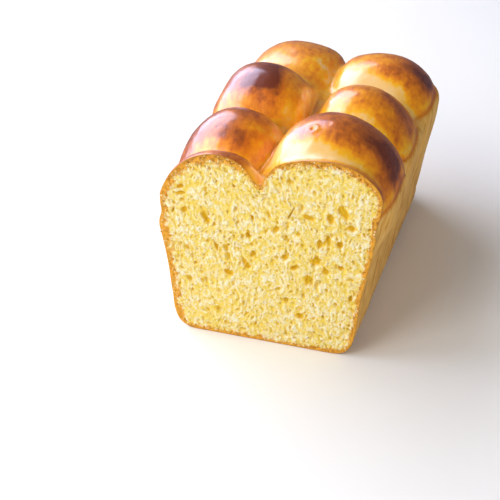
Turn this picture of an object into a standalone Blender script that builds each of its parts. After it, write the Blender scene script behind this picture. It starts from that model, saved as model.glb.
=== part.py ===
"""A loaf of brioche: two columns of dough balls baked together in a tapered tin, cut across at the front.

The loaf stands on its flat base. +X is to the right of the cut face, +Y runs from the cut face to the baked
end, and +Z is up. The origin is the middle of the base's box. Lengths are in metres.
"""

import math
from functools import partial

import bmesh
import bpy
import numpy as np
from mathutils import Matrix, noise

# Everything is laid out from the knife's cut: x across it, s behind it, z up. This is where the origin lies.
LOAF_LENGTH = 0.1989
MIDDLE_X = 0.0003

# The tin that shaped the sides. The dough leaned a little to the right towards the back.
TIN_FLOOR_HALF_WIDTH = 0.0480
TIN_WALL_SLOPE = 0.125
TIN_RIM_HEIGHT = 0.0725
TIN_RIM_TILT = 0.068
TIN_CORE_RISE = 0.0080
TIN_CENTRE_X = -0.0017
TIN_LEAN = 0.026
TIN_FRONT = -0.050
TIN_BACK = 0.193
TIN_END_SLOPE = 0.12
TIN_CORNER_RADIUS = 0.023
BASE_ROUNDING = 0.011
RIDGE_X = -0.0055
RIDGE_WIDTH = 0.0100
RIDGE_AT = (0.045, 0.090, 0.170, 0.190)
RIDGE_HEIGHTS = (0.0125, 0.0050, 0.0050, 0.0)

# The dough balls: centre x, centre s, half width, half length, shoulder height, top, turn in degrees, and the
# fullness of the dome, where 2 is half a ball and less is more like a tent.
BALLS = {
    "left_a": (-0.0261, 0.0015, 0.0314, 0.0215, 0.0824, 0.1100, 6.0, 1.39),
    "left_b": (-0.0300, 0.0460, 0.0305, 0.0326, 0.0775, 0.1105, 1.0, 1.60),
    "left_c": (-0.0312, 0.1028, 0.0280, 0.0290, 0.0870, 0.1135, 2.5, 1.50),
    "left_d": (-0.0280, 0.1628, 0.0290, 0.0362, 0.0832, 0.0986, -2.0, 1.63),
    "right_a": (0.0273, -0.0200, 0.0343, 0.0340, 0.0953, 0.1184, 6.0, 1.94),
    "right_b": (0.0244, 0.0360, 0.0371, 0.0366, 0.0827, 0.1191, 0.0, 1.60),
    "right_c": (0.0260, 0.1008, 0.0314, 0.0335, 0.0775, 0.1073, 6.0, 1.30),
    "right_d": (0.0240, 0.1605, 0.0345, 0.0335, 0.0750, 0.1010, 3.0, 1.62),
}
BALL_DEPTH = 0.040
PLAN_CORNERS_LOW = 3.25
PLAN_CORNERS_HIGH = 2.1

# How softly neighbours run together, and the shallow seams that they leave on the sides.
ROW_BLENDS = {"left": (0.0090, 0.0090, 0.0180), "right": (0.0110, 0.0080, 0.0090)}
COLUMN_BLEND = 0.0030
COLUMN_PINCH = 0.0030
PINCH_WIDTH = 0.0080
TIN_BLEND = 0.0050
RIM_BLEND = 0.0060
SEAM_DEPTH = 0.0010
SEAM_WIDTH = 0.0050
SEAMS_AT = (0.018, 0.0755, 0.132)

# The uneven rise of real dough.
WAVE_SIZE = 0.026
WAVE_HEIGHT = 0.0011

# The rough shells of the balls and of the dough in the tin, found along rays from their middles.
SHELL_TURNS = 64
SHELL_RINGS = 40
RAY_REACH = 0.150
RAY_STEPS = 16

# The even mesh that joins the rough shells, how it is drawn onto the dough's surface, and the share of its
# faces that is kept: more where the crust is curved, few on the flat sides and base.
MESH_SIZE = 0.0018
SETTLE_ROUNDS = 3
SETTLE_STEPS = 10
SETTLE_SHARE = 0.6
SETTLE_REACH = 0.0012
SETTLE_PROBE = 0.00002
KEPT_FACES = 0.128

# The knife's cut, and the largest air holes that it opened: x, z, width, height and how many degrees the top
# leans to the left.
KNIFE_OVERSIZE = 0.05
AIR_HOLES = (
    (0.0394, 0.0868, 0.0044, 0.0059, 0), (0.0324, 0.0831, 0.0032, 0.0067, 8),
    (0.0431, 0.0788, 0.0037, 0.0034, 0), (0.0210, 0.0811, 0.0051, 0.0032, -8),
    (0.0270, 0.0668, 0.0028, 0.0050, 0), (0.0320, 0.0706, 0.0026, 0.0054, 10),
    (0.0379, 0.0682, 0.0032, 0.0042, 0), (0.0256, 0.0562, 0.0044, 0.0070, -38),
    (0.0306, 0.0502, 0.0036, 0.0042, -25), (0.0216, 0.0441, 0.0035, 0.0067, -5),
    (0.0144, 0.0504, 0.0028, 0.0052, -60), (0.0094, 0.0556, 0.0034, 0.0036, 0),
    (0.0182, 0.0200, 0.0036, 0.0043, 0), (0.0389, 0.0547, 0.0030, 0.0030, 0),
    (0.0448, 0.0363, 0.0025, 0.0042, 0), (-0.0334, 0.0729, 0.0034, 0.0086, 28),
    (-0.0446, 0.0749, 0.0034, 0.0052, -30), (-0.0463, 0.0850, 0.0026, 0.0056, -70),
    (-0.0207, 0.0404, 0.0034, 0.0062, 60), (-0.0078, 0.0543, 0.0030, 0.0042, -30),
    (-0.0102, 0.0656, 0.0026, 0.0036, 0), (-0.0106, 0.0465, 0.0034, 0.0034, 0),
)
HOLE_DEPTH = 0.6
HOLE_SHIFT = 0.1

CRUST_COLOUR = (0.52, 0.21, 0.05, 1.0)
CRUST_ROUGHNESS = 0.32


def smooth_low(first, second, width):
    """The lower of two distances, with the join rounded over the width."""
    share = np.clip(0.5 + 0.5 * (second - first) / width, 0.0, 1.0)
    return second + (first - second) * share - width * share * (1.0 - share)


def smooth_high(first, second, width):
    """The higher of two distances, with the join rounded over the width."""
    return -smooth_low(-first, -second, width)


def ball_distance(x, s, z, ball):
    """Distance to one dough ball: squarish in plan at its shoulder, round at its top, tucked in below."""
    centre_x, centre_s, half_width, half_length, shoulder, top, turn, fullness = ball
    cosine, sine = math.cos(math.radians(turn)), math.sin(math.radians(turn))
    off_x, off_s, off_z = x - centre_x, s - centre_s, z - shoulder
    across = np.abs(off_x * cosine + off_s * sine) / half_width + 1e-9
    along = np.abs(off_s * cosine - off_x * sine) / half_length + 1e-9
    height = np.abs(off_z) / np.where(off_z > 0.0, top - shoulder, BALL_DEPTH)
    corners = PLAN_CORNERS_LOW + (PLAN_CORNERS_HIGH - PLAN_CORNERS_LOW) * np.clip(height, 0.0, 1.0)
    plan = (across**corners + along**corners) ** (1.0 / corners)
    size = np.sqrt(plan**2 + height ** np.where(off_z > 0.0, fullness, 2.0))
    reach = np.sqrt(off_x**2 + off_s**2 + off_z**2)
    return reach * (1.0 - 1.0 / np.maximum(size, 1e-6))


def lid_height(x, s):
    """How high the dough in the tin stands below the balls, with a ridge that floors the long crease."""
    from_middle = np.abs(x - TIN_CENTRE_X - TIN_LEAN * s)
    rise = TIN_CORE_RISE * (1.0 - np.clip(from_middle / TIN_FLOOR_HALF_WIDTH, 0.0, 1.0) ** 2)
    ridge = np.interp(s, RIDGE_AT, RIDGE_HEIGHTS) * np.exp(-(((x - RIDGE_X) / RIDGE_WIDTH) ** 2))
    return TIN_RIM_HEIGHT + TIN_RIM_TILT * x + rise + ridge


def tin_distance(x, s, z):
    """Distance to the dough that filled the tin: a tapered box with rounded corners and a rounded base."""
    seam = sum(np.exp(-(((s - at) / SEAM_WIDTH) ** 2)) for at in SEAMS_AT)
    half_width = TIN_FLOOR_HALF_WIDTH + TIN_WALL_SLOPE * z
    half_width = half_width - SEAM_DEPTH * seam * np.clip(z / TIN_RIM_HEIGHT, 0.0, 1.0)
    half_length = 0.5 * (TIN_BACK - TIN_FRONT) - TIN_END_SLOPE * (TIN_RIM_HEIGHT - z)
    from_middle = np.abs(x - TIN_CENTRE_X - TIN_LEAN * s)
    out_x = from_middle - half_width + TIN_CORNER_RADIUS
    out_s = np.abs(s - 0.5 * (TIN_FRONT + TIN_BACK)) - half_length + TIN_CORNER_RADIUS
    outside = np.hypot(np.maximum(out_x, 0.0), np.maximum(out_s, 0.0))
    wall = outside + np.minimum(np.maximum(out_x, out_s), 0.0) - TIN_CORNER_RADIUS
    body = smooth_high(wall, -z, BASE_ROUNDING)
    return smooth_high(body, z - lid_height(x, s), RIM_BLEND)


def column_distance(x, s, z, side):
    """Distance to one column of dough balls, each run into the next."""
    column = [ball for name, ball in BALLS.items() if name.startswith(side)]
    distance = ball_distance(x, s, z, column[0])
    for ball, blend in zip(column[1:], ROW_BLENDS[side]):
        distance = smooth_low(distance, ball_distance(x, s, z, ball), blend)
    return distance


def dough_distance(x, s, z):
    """Distance to the whole baked loaf, before the knife, with the long crease pinched in."""
    left = column_distance(x, s, z, "left")
    right = column_distance(x, s, z, "right")
    pinch = COLUMN_PINCH * np.exp(-(((left - right) / PINCH_WIDTH) ** 2))
    balls = smooth_low(left, right, COLUMN_BLEND) + pinch
    return smooth_low(balls, tin_distance(x, s, z), TIN_BLEND)


def cast_shell(shell, centre, stretch, distance):
    """Adds a sphere round a centre and moves each vertex out along its ray to a surface, found by halving."""
    sphere = bmesh.ops.create_uvsphere(shell, u_segments=SHELL_TURNS, v_segments=SHELL_RINGS, radius=1.0)
    sphere = sphere["verts"]
    directions = np.array([vertex.co for vertex in sphere]) * stretch
    directions = directions / np.linalg.norm(directions, axis=1)[:, None]
    low, high = np.zeros(len(sphere)), np.full(len(sphere), RAY_REACH)
    for _ in range(RAY_STEPS):
        middle = 0.5 * (low + high)
        inside = distance(*(centre + directions * middle[:, None]).T) < 0.0
        low, high = np.where(inside, middle, low), np.where(inside, high, middle)
    for vertex, point in zip(sphere, centre + directions * high[:, None]):
        vertex.co = point


def settle_on_crust(points):
    """Draws points near the dough's surface onto it, down its slope."""
    for _ in range(SETTLE_STEPS):
        here = dough_distance(*points.T)
        probes = [dough_distance(*(points + step).T) for step in np.eye(3) * SETTLE_PROBE]
        slope = (np.stack(probes, axis=1) - here[:, None]) / SETTLE_PROBE
        move = -SETTLE_SHARE * here / np.maximum(np.sum(slope**2, axis=1), 0.1)
        points = points + slope * np.clip(move, -SETTLE_REACH, SETTLE_REACH)[:, None]
    return points


def make_material(name, colour, roughness):
    """A plain finish."""
    material = bpy.data.materials.new(name)
    material.use_nodes = True
    surface = material.node_tree.nodes["Principled BSDF"]
    surface.inputs["Base Color"].default_value = colour
    surface.inputs["Roughness"].default_value = roughness
    surface.inputs["Metallic"].default_value = 0.0
    return material


def make_object(name, shell, collection):
    """Turns a bmesh laid out from the cut into an object laid out from the origin."""
    bmesh.ops.translate(shell, verts=shell.verts, vec=(-MIDDLE_X, -LOAF_LENGTH / 2, 0.0))
    bmesh.ops.recalc_face_normals(shell, faces=shell.faces)
    mesh = bpy.data.meshes.new(name)
    shell.to_mesh(mesh)
    shell.free()
    made = bpy.data.objects.new(name, mesh)
    collection.objects.link(made)
    return made


def make_rough_shells():
    """Every dough ball and the dough in the tin as closed shells that overlap."""
    shell = bmesh.new()
    for ball in BALLS.values():
        centre = np.array((ball[0], ball[1], ball[4]))
        cast_shell(shell, centre, (1.0, 1.0, 1.0), partial(ball_distance, ball=ball))
    middle, half_length = 0.5 * (TIN_BACK + TIN_FRONT), 0.5 * (TIN_BACK - TIN_FRONT)
    centre = np.array((TIN_CENTRE_X + TIN_LEAN * middle, middle, TIN_RIM_HEIGHT / 2))
    cast_shell(shell, centre, (TIN_FLOOR_HALF_WIDTH, half_length, TIN_RIM_HEIGHT / 2), tin_distance)
    bmesh.ops.recalc_face_normals(shell, faces=shell.faces)
    mesh = bpy.data.meshes.new("rough_shells")
    shell.to_mesh(mesh)
    shell.free()
    return mesh


def make_even_mesh(mesh):
    """The outside of all the shells together, with faces of one size."""
    holder = bpy.data.objects.new("even_mesh", mesh)
    bpy.context.scene.collection.objects.link(holder)
    remesh = holder.modifiers.new("even_mesh", "REMESH")
    remesh.mode = "VOXEL"
    remesh.voxel_size = MESH_SIZE
    even = bpy.data.meshes.new_from_object(holder.evaluated_get(bpy.context.evaluated_depsgraph_get()))
    bpy.data.objects.remove(holder)
    return even


def settle_mesh(mesh):
    points = settle_on_crust(np.array([vertex.co for vertex in mesh.vertices]))
    for vertex, point in zip(mesh.vertices, points):
        vertex.co = point
    return mesh


def make_whole_loaf(collection):
    """The whole loaf, drawn exactly onto the dough's surface, with the uneven rise of real dough."""
    mesh = make_rough_shells()
    for _ in range(SETTLE_ROUNDS):
        mesh = settle_mesh(make_even_mesh(mesh))
    shell = bmesh.new()
    shell.from_mesh(mesh)
    shell.normal_update()
    for vertex in shell.verts:
        if vertex.co.z > BASE_ROUNDING:
            vertex.co += vertex.normal * noise.noise(vertex.co / WAVE_SIZE) * WAVE_HEIGHT
    loaf = make_object("loaf", shell, collection)
    loaf.data.shade_smooth()
    thin_out = loaf.modifiers.new("thin_out", "DECIMATE")
    thin_out.ratio = KEPT_FACES
    return loaf


def make_knife_cut(collection):
    """A box over everything in front of the cut."""
    box = bmesh.new()
    bmesh.ops.create_cube(box, size=1.0)
    depth = KNIFE_OVERSIZE - TIN_FRONT
    bmesh.ops.scale(box, verts=box.verts, vec=(4 * TIN_FLOOR_HALF_WIDTH, depth, 4 * TIN_RIM_HEIGHT))
    bmesh.ops.translate(box, verts=box.verts, vec=(0.0, -depth / 2, TIN_RIM_HEIGHT))
    return make_object("knife_cut", box, collection)


def make_air_holes(collection):
    """Egg-shaped hollows across the cut face."""
    holes = bmesh.new()
    for x, z, width, height, lean in AIR_HOLES:
        stretch = Matrix.Diagonal((width / 2, HOLE_DEPTH * width, height / 2, 1.0))
        turn = Matrix.Rotation(math.radians(-lean), 4, "Y")
        place = Matrix.Translation((x, HOLE_SHIFT * width, z)) @ turn @ stretch
        bmesh.ops.create_uvsphere(holes, u_segments=8, v_segments=6, radius=1.0, matrix=place)
    return make_object("air_holes", holes, collection)


def cut_away(loaf, cutter):
    """Takes a cutter's shape out of the loaf."""
    cutter.hide_render = True
    cutter.display_type = "WIRE"
    cut = loaf.modifiers.new(cutter.name, "BOOLEAN")
    cut.operation = "DIFFERENCE"
    cut.solver = "EXACT"
    cut.object = cutter


def main():
    for old in list(bpy.data.objects):
        bpy.data.objects.remove(old)
    model = bpy.data.collections.new("brioche_loaf")
    cutters = bpy.data.collections.new("cutters")
    for collection in (model, cutters):
        bpy.context.scene.collection.children.link(collection)
    loaf = make_whole_loaf(model)
    loaf.data.materials.append(make_material("crust", CRUST_COLOUR, CRUST_ROUGHNESS))
    cut_away(loaf, make_knife_cut(cutters))
    cut_away(loaf, make_air_holes(cutters))


if __name__ == "__main__":
    main()
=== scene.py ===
"""A loaf of brioche with its front cut off: crust, crumb, loose bits and a studio, as a Blender add-on."""

import math
from functools import partial

import bmesh
import bpy
import numpy as np
from bpy.props import FloatProperty, FloatVectorProperty, IntProperty, PointerProperty
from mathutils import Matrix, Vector, geometry, kdtree, noise


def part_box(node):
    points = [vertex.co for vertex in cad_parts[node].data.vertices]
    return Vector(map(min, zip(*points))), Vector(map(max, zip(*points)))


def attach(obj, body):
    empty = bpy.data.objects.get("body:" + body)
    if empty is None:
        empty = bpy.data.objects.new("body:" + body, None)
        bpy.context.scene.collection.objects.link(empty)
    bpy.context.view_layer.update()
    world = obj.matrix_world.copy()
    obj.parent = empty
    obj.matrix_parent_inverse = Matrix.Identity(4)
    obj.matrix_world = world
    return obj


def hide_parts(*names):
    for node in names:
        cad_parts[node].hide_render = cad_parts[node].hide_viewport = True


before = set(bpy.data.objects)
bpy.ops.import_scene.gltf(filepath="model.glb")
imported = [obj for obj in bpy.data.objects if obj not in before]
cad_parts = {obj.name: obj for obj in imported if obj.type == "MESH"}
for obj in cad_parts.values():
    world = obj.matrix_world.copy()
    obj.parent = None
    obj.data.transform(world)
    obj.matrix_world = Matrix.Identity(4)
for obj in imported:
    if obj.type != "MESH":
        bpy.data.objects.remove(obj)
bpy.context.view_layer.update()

bl_info = {
    "name": "Brioche Loaf",
    "version": (1, 0, 0),
    "blender": (4, 5, 0),
    "location": "View3D > Sidebar > Brioche",
    "description": "A tin-baked brioche loaf with an egg-washed crust and an open crumb",
    "category": "Add Mesh",
}

LOAF_LOW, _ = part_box("loaf")
CUT_Y = LOAF_LOW.y
# How far right of the frame's middle the layout below has its own.
MIDDLE_X = 0.0003

# The tin that shaped the sides, laid out from the knife's cut: x across it, s behind it, z up.
TIN_FLOOR_HALF_WIDTH = 0.0480
TIN_WALL_SLOPE = 0.125
TIN_RIM_HEIGHT = 0.0725
TIN_RIM_TILT = 0.068
TIN_CORE_RISE = 0.0080
TIN_CENTRE_X = -0.0017
TIN_LEAN = 0.026
TIN_FRONT = -0.050
TIN_BACK = 0.193
TIN_END_SLOPE = 0.12
TIN_CORNER_RADIUS = 0.023
BASE_ROUNDING = 0.011
# The low ridge of dough that floors the long crease, and its height along the loaf.
RIDGE_X = -0.0055
RIDGE_WIDTH = 0.0100
RIDGE_AT = (0.045, 0.090, 0.170, 0.190)
RIDGE_HEIGHTS = (0.0125, 0.0050, 0.0050, 0.0)

# The dough balls: centre x, centre s, half width, half length, shoulder height, top, turn in degrees, and
# the fullness of the dome, where 2 is half a ball and less is more like a tent.
BALLS = {
    "left_a": (-0.0261, 0.0015, 0.0314, 0.0215, 0.0824, 0.1100, 6.0, 1.39),
    "left_b": (-0.0300, 0.0460, 0.0305, 0.0326, 0.0775, 0.1105, 1.0, 1.60),
    "left_c": (-0.0312, 0.1028, 0.0280, 0.0290, 0.0870, 0.1135, 2.5, 1.50),
    "left_d": (-0.0280, 0.1628, 0.0290, 0.0362, 0.0832, 0.0986, -2.0, 1.63),
    "right_a": (0.0273, -0.0200, 0.0343, 0.0340, 0.0953, 0.1184, 6.0, 1.94),
    "right_b": (0.0244, 0.0360, 0.0371, 0.0366, 0.0827, 0.1191, 0.0, 1.60),
    "right_c": (0.0260, 0.1008, 0.0314, 0.0335, 0.0775, 0.1073, 6.0, 1.30),
    "right_d": (0.0240, 0.1605, 0.0345, 0.0335, 0.0750, 0.1010, 3.0, 1.62),
}
BALL_DEPTH = 0.040
PLAN_CORNERS_LOW = 3.25
PLAN_CORNERS_HIGH = 2.1
ROW_BLENDS = {"left": (0.0090, 0.0090, 0.0180), "right": (0.0110, 0.0080, 0.0090)}
COLUMN_BLEND = 0.0030
COLUMN_PINCH = 0.0030
PINCH_WIDTH = 0.0080
TIN_BLEND = 0.0050
RIM_BLEND = 0.0060
SEAM_DEPTH = 0.0010
SEAM_WIDTH = 0.0050
SEAMS_AT = (0.018, 0.0755, 0.132)
WAVE_SIZE = 0.026
WAVE_HEIGHT = 0.0011

# The rough shells of the balls and the tin's body, their even mesh, and how it is drawn onto the surface.
SHELL_TURNS = 64
SHELL_RINGS = 40
RAY_REACH = 0.150
RAY_STEPS = 16
MESH_SIZE = 0.00112
SETTLE_ROUNDS = 3
SETTLE_STEPS = 8
SETTLE_SHARE = 0.6
SETTLE_REACH = 0.0012
SETTLE_PROBE = 0.00002
SETTLE_LEAST_SLOPE = 0.1

# How far each ball browned at its top, from 0 to 1, and how much paler its front and its inner side are.
# Paler crust lies by the creases; on the right column's front-left, facing the window, the paleness is
# partly painted highlight.
BAKES = {
    "left_a": (0.66, 0.00, 0.92), "left_b": (0.56, 0.60, 0.50),
    "left_c": (0.62, 0.40, 0.55), "left_d": (0.46, 0.20, 0.10),
    "right_a": (0.78, 0.00, 0.00), "right_b": (0.60, 0.80, 0.30),
    "right_c": (0.46, 0.60, 0.50), "right_d": (0.42, 0.92, 0.40),
}
# Darker and paler spots on a ball: across and along it as shares of its half sizes, radius and strength.
# The paler spot on left_d's front-left is painted highlight.
SPOTS = {
    "left_b": ((-0.60, -0.20, 0.60, 0.22), (0.44, -0.32, 0.26, 0.30), (0.22, -0.48, 0.14, 0.24),
               (0.50, 0.00, 0.18, 0.24), (0.66, -0.44, 0.12, 0.24), (0.00, 0.40, 0.50, 0.16)),
    "left_c": ((-0.50, -0.30, 0.55, 0.16), (0.20, -0.36, 0.40, 0.60), (0.77, 0.51, 0.20, 0.35),
               (-0.25, 0.35, 0.50, 0.12)),
    # left_d's second, paler spot is painted highlight.
    "left_d": ((-0.70, 0.00, 0.40, 0.10), (-0.45, -0.40, 0.42, -0.24)),
    # right_b's paler spot on its front-left is partly painted highlight.
    "right_b": ((0.72, 0.00, 0.42, 0.42), (0.48, -0.68, 0.36, -0.42), (-0.45, -0.75, 0.30, -0.15),
                (-0.10, 0.40, 0.50, 0.12)),
    "right_c": ((0.70, 0.00, 0.34, 0.34),),
    "right_d": ((0.80, 0.00, 0.48, 0.62),),
}
SPOT_WANDER = 3.0
# Where on each column's balls the pale front starts and is whole, how far it swings to the inner side, and
# where the paler inner side starts and is whole. On the right column the swing is toward the window, partly
# painted highlight.
FRONTS = {"left": (0.50, 0.72), "right": (0.28, 0.60)}
FRONT_SWINGS = {"left": 0.0, "right": 0.45}
INNERS = {"left": (0.20, 0.75), "right": (0.30, 0.90)}
# How far the edges of the browned parts wander, over what distance, and how softly one ball's brown meets
# the next one's.
EDGE_WANDER = 0.22
WANDER_SIZE = 0.016
BALL_SOFTNESS = 0.004
# Burst blisters that left a ring: the ball, across and along it, then the ring's radius and height. The
# widths of the ring and of its hollow middle, and the middle's depth, are shares of these.
BLISTERS = (("right_b", -0.22, -0.25, 0.0021, 0.0006), ("right_b", 0.05, -0.12, 0.0012, 0.0003))
BLISTER_RING_WIDTH = 0.45
BLISTER_MIDDLE_WIDTH = 0.55
BLISTER_MIDDLE_DEPTH = 0.7
# How wide the creases between the balls of a column are, and how much paler.
ROW_CREASES = {"left": (0.008, 0.25), "right": (0.014, 0.90)}
# The front balls keep most of their brown beside the crease.
FRONT_BALL_CREASE = 0.2
COLUMN_CREASE_WIDTH = 0.018
COLUMN_BAKE = 0.25
RIM_CREASE_WIDTH = 0.004
RIM_PALENESS = 0.50
# Between these distances from the loaf's middle the creases lose their paleness, down to this share of it.
CREASE_FADES = (0.036, 0.052)
OUTER_CREASES = 0.15
# How far from a crease the stretch lines reach: between the balls of a column, and at the long crease.
ROW_LINES_REACH = 0.024
COLUMN_LINES_REACH = 0.020
# How much less a steep part browned than a level one.
STEEP_PALENESS = 0.15
# Two distances that differ by less than this are the same.
SAME_DISTANCE = 1e-9
# The fold on the sides where the balls bulged over the tin's rim: its height on the right, front to back.
FOLD_AT = (0.0, 0.045, 0.080, 0.190)
FOLD_HEIGHTS = (0.0845, 0.0870, 0.0785, 0.0780)
FOLD_SIDE = 0.058
FOLD_WIDTH = 0.0010
FOLD_DEPTH = 0.0008
# The fold is pressed in on the right only, and fades out between these places across the loaf.
FOLD_FADES = (-0.02, 0.02)
# From how far inside the tin's walls a point counts as being on a side.
SIDE_FADES = (-0.010, -0.004)
# The paler strip just above the fold, and the edge between the balls and the tin's sides.
STRIP_RISE = 0.0036
STRIP_WIDTH = 0.0028
STRIP_PALENESS = 0.35
WALL_EDGE = 0.0016

# The cut: the crust's rim round it and the recess behind, which the crumb fills.
RIM_MERGE = 0.00035
RIM_INSET = 0.0009
RIM_DEPTH = 0.00035
RECESS_INSET = 0.0060
RECESS_DEPTH = 0.0060
CRUMB_INSET = 0.0014
CRUMB_FLANGE = 0.0009
CRUMB_BACK_INSET = 0.0066
CRUMB_DEPTH = 0.0050
CRUMB_SPACING = 0.00042
EDGE_CLEARANCE = 0.6
NORMAL_SMOOTHING = 4
EDGE_STEPS = 8

# The largest air holes on the cut: x, z, width, height and how many degrees the top leans to the left.
AIR_HOLES = (
    (0.0394, 0.0868, 0.0044, 0.0059, 0), (0.0324, 0.0831, 0.0032, 0.0067, 8),
    (0.0431, 0.0788, 0.0037, 0.0034, 0), (0.0210, 0.0811, 0.0051, 0.0032, -8),
    (0.0274, 0.0671, 0.0030, 0.0054, 0), (0.0316, 0.0703, 0.0028, 0.0059, 10),
    (0.0377, 0.0685, 0.0034, 0.0044, 0), (0.0256, 0.0562, 0.0044, 0.0070, -38),
    (0.0306, 0.0505, 0.0038, 0.0044, -25), (0.0216, 0.0441, 0.0035, 0.0067, -5),
    (0.0144, 0.0504, 0.0028, 0.0052, -60), (0.0094, 0.0556, 0.0034, 0.0036, 0),
    (0.0182, 0.0200, 0.0036, 0.0043, 0), (0.0387, 0.0547, 0.0030, 0.0030, 0),
    (0.0448, 0.0363, 0.0025, 0.0042, 0), (0.0120, 0.0819, 0.0011, 0.0082, -25),
    (-0.0334, 0.0729, 0.0034, 0.0086, 28), (-0.0446, 0.0749, 0.0034, 0.0052, -30),
    (-0.0470, 0.0881, 0.0021, 0.0050, -60), (-0.0463, 0.0843, 0.0024, 0.0056, -70),
    (-0.0278, 0.0562, 0.0016, 0.0068, 20), (-0.0207, 0.0404, 0.0034, 0.0062, 60),
    (-0.0078, 0.0543, 0.0030, 0.0042, -30), (-0.0102, 0.0656, 0.0026, 0.0036, 0),
    (-0.0106, 0.0465, 0.0034, 0.0034, 0), (-0.0079, 0.0764, 0.0021, 0.0040, 15),
    (-0.0506, 0.0739, 0.0011, 0.0042, -20),
)
# How ragged their edges are, how fine the rags, and where a hole's edge and floor lie in its half sizes.
HOLE_RAGGEDNESS = 0.55
HOLE_RAG_SIZE = 0.0028
HOLE_EDGE = 1.30
HOLE_FLOOR = 0.45

# How wide the browned rim of the crumb is on each side of the cut, and how dark. It thins out at the notch.
RIM_WIDTHS = {"left": 0.0062, "right": 0.0040, "top_left": 0.0098, "top_right": 0.0064, "bottom": 0.0042}
RIM_BAKES = {"left": 0.30, "right": 0.55, "bottom": 0.60, "top": 1.0}
NOTCH_X = -0.0050
NOTCH_REACH = 0.011
NOTCH_THINNING = 0.60
NOTCH_HEIGHTS = (0.075, 0.090)

# How far apart two seeds' patterns lie.
SEED_STEP = 1.7
# Grains of the soft noise patterns: the size of the patches, the detail and its roughness. The size of the
# wrinkles is a setting. A stretched pattern has a size of 1 and its own sizes along x, y and z.
WRINKLE_GRAIN = (3.0, 0.6)
STRETCH_LINE_SIZES = (0.0011, 0.012, 0.010)
CRINKLE_GRAIN = (1.0, 3.0, 0.55)
STREAK_GRAIN = (1.0, 4.0, 0.62)
STREAK_SIZES = (0.0060, 0.0034, 0.015)
BROAD_PATCHES = (0.020, 3.0)
PATCHES = (0.0085, 4.0, 0.6)
FLOW_GRAIN = (1.0, 3.0, 0.60)
FLOW_SIZES = (0.0028, 0.0085, 0.0055)
SPECKLES = (0.0028, 3.0, 0.6)
SIDE_PATCHES = (0.018, 2.0)
SKIN_GRAIN = (0.0016, 4.0, 0.65)
OPEN_PARTS = (0.014, 2.0)
FIBRE_GRAIN = (1.0, 4.0, 0.75)
FIBRE_SIZES = (0.0019, 1.0, 0.0036)
CRUMB_PATCHES = (0.0065, 4.0, 0.65)
CRUMB_THREADS = (0.0009, 3.0, 0.7)
RIM_RAGS = (0.0042, 4.0, 0.75)
CHAR_SPOTS = (0.0022, 3.0, 0.7)
CRUMB_GRAIN = (0.0007, 3.0, 0.7)
# How far the sides' streaks lean, in radians, and the push that bends them: the noise's scale and detail,
# and the reach.
STREAK_LEAN = 0.35
STREAK_WANDER = (70.0, 2.0, 0.004)

# How much each pattern shifts the crust's browning, and between which levels of browning patches show.
BROAD_SHIFT = 0.32
PATCH_SHIFT = 0.90
FLOW_SHIFT = 0.60
SPECKLE_SHIFT = 0.36
DIMPLE_SHIFT = 0.15
MOTTLE_RISE = (0.05, 0.30)
MOTTLE_FALL = (0.90, 0.50)
# The places of the colours along the browning, from the creases to the darkest spots, and in the streaks.
BAKE_STOPS = (0.03, 0.20, 0.38, 0.62, 0.90)
STREAK_STOPS = (0.27, 0.47, 0.72)
# The sides are browner in patches, near the base and along the fold, and darker to the left, which is
# painted shade where the window lights them most.
SIDE_PATCH_SHIFT = 0.35
LEFT_SHADE_FADE = (0.030, -0.030)
LEFT_PAINTED_SHADE = 0.09
BASE_FADE = (0.020, 0.0)
BASE_SHIFT = 0.12
FOLD_SHADE = 0.8
# The egg wash's coat on the balls' skin and on the tin's sides, how rough the skin is under it, what pale
# skin and the sides add to that, and the depth of the skin's grain.
WASH = (1.0, 0.15)
SKIN_ROUGHNESS = 0.26
PALE_ROUGHNESS = 0.16
SIDE_ROUGHNESS = 0.22
SKIN_BUMP = 0.00022

# Small burst blisters: least and greatest radius, and where the walls run, as shares. Then the chances
# between which a cell gets one, and the browning that they need.
DIMPLE_RADII = (0.15, 0.42)
DIMPLE_WALL = (1.0, 0.3)
DIMPLE_CHANCES = (0.88, 0.90)
DIMPLE_BAKES = (0.35, 0.8)
# All relief of the crust fades out between these heights, where the loaf meets the table.
TABLE_FADE = (0.0005, 0.0060)

# The layers of smaller air holes: how far each pattern is moved, how tall its holes are for their width,
# and the share of its cells that have one.
PORE_LAYERS = {
    "middle": ((0.031, 0.0, 0.017), 1.6, 0.52),
    "small": ((0.057, 0.0, 0.043), 1.5, 0.55),
    "flattened": ((0.083, 0.0, 0.071), 0.6, 0.8),
    "fine": ((0.013, 0.0, 0.091), 1.3, 0.72),
}
# Their least and greatest radius and where their walls run, as shares of a cell, how deep the smallest and
# the largest are, and where above its threshold of 1 less that share a cell's hole is whole.
PORE_RADII = (0.20, 0.46)
PORE_WALL = (1.0, 0.45)
PORE_FULLNESS = (0.55, 1.0)
PORE_CHANCE_EDGE = 1.02
# How far from the crust each layer starts and is whole, and where the flattened holes end.
PORE_STARTS = {"middle": (0.003, 0.006), "small": (0.0008, 0.0020), "flattened": (0.0006, 0.0020)}
FLATTENED_ENDS = (0.012, 0.007)
# Between which levels of noise the open parts and the fibres start and are whole, and how far from the
# crust all relief of the cut does.
OPEN_LEVELS = (0.30, 0.62)
FIBRE_LEVELS = (0.28, 0.72)
RELIEF_START = 0.0016
# The pushes that bend rows of holes and fray their edges: the noise's scale and detail, and the reach.
HOLE_DRIFT = (45.0, 1.0, 0.010)
HOLE_FRAYING = (420.0, 2.0, 0.0016)

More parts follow.
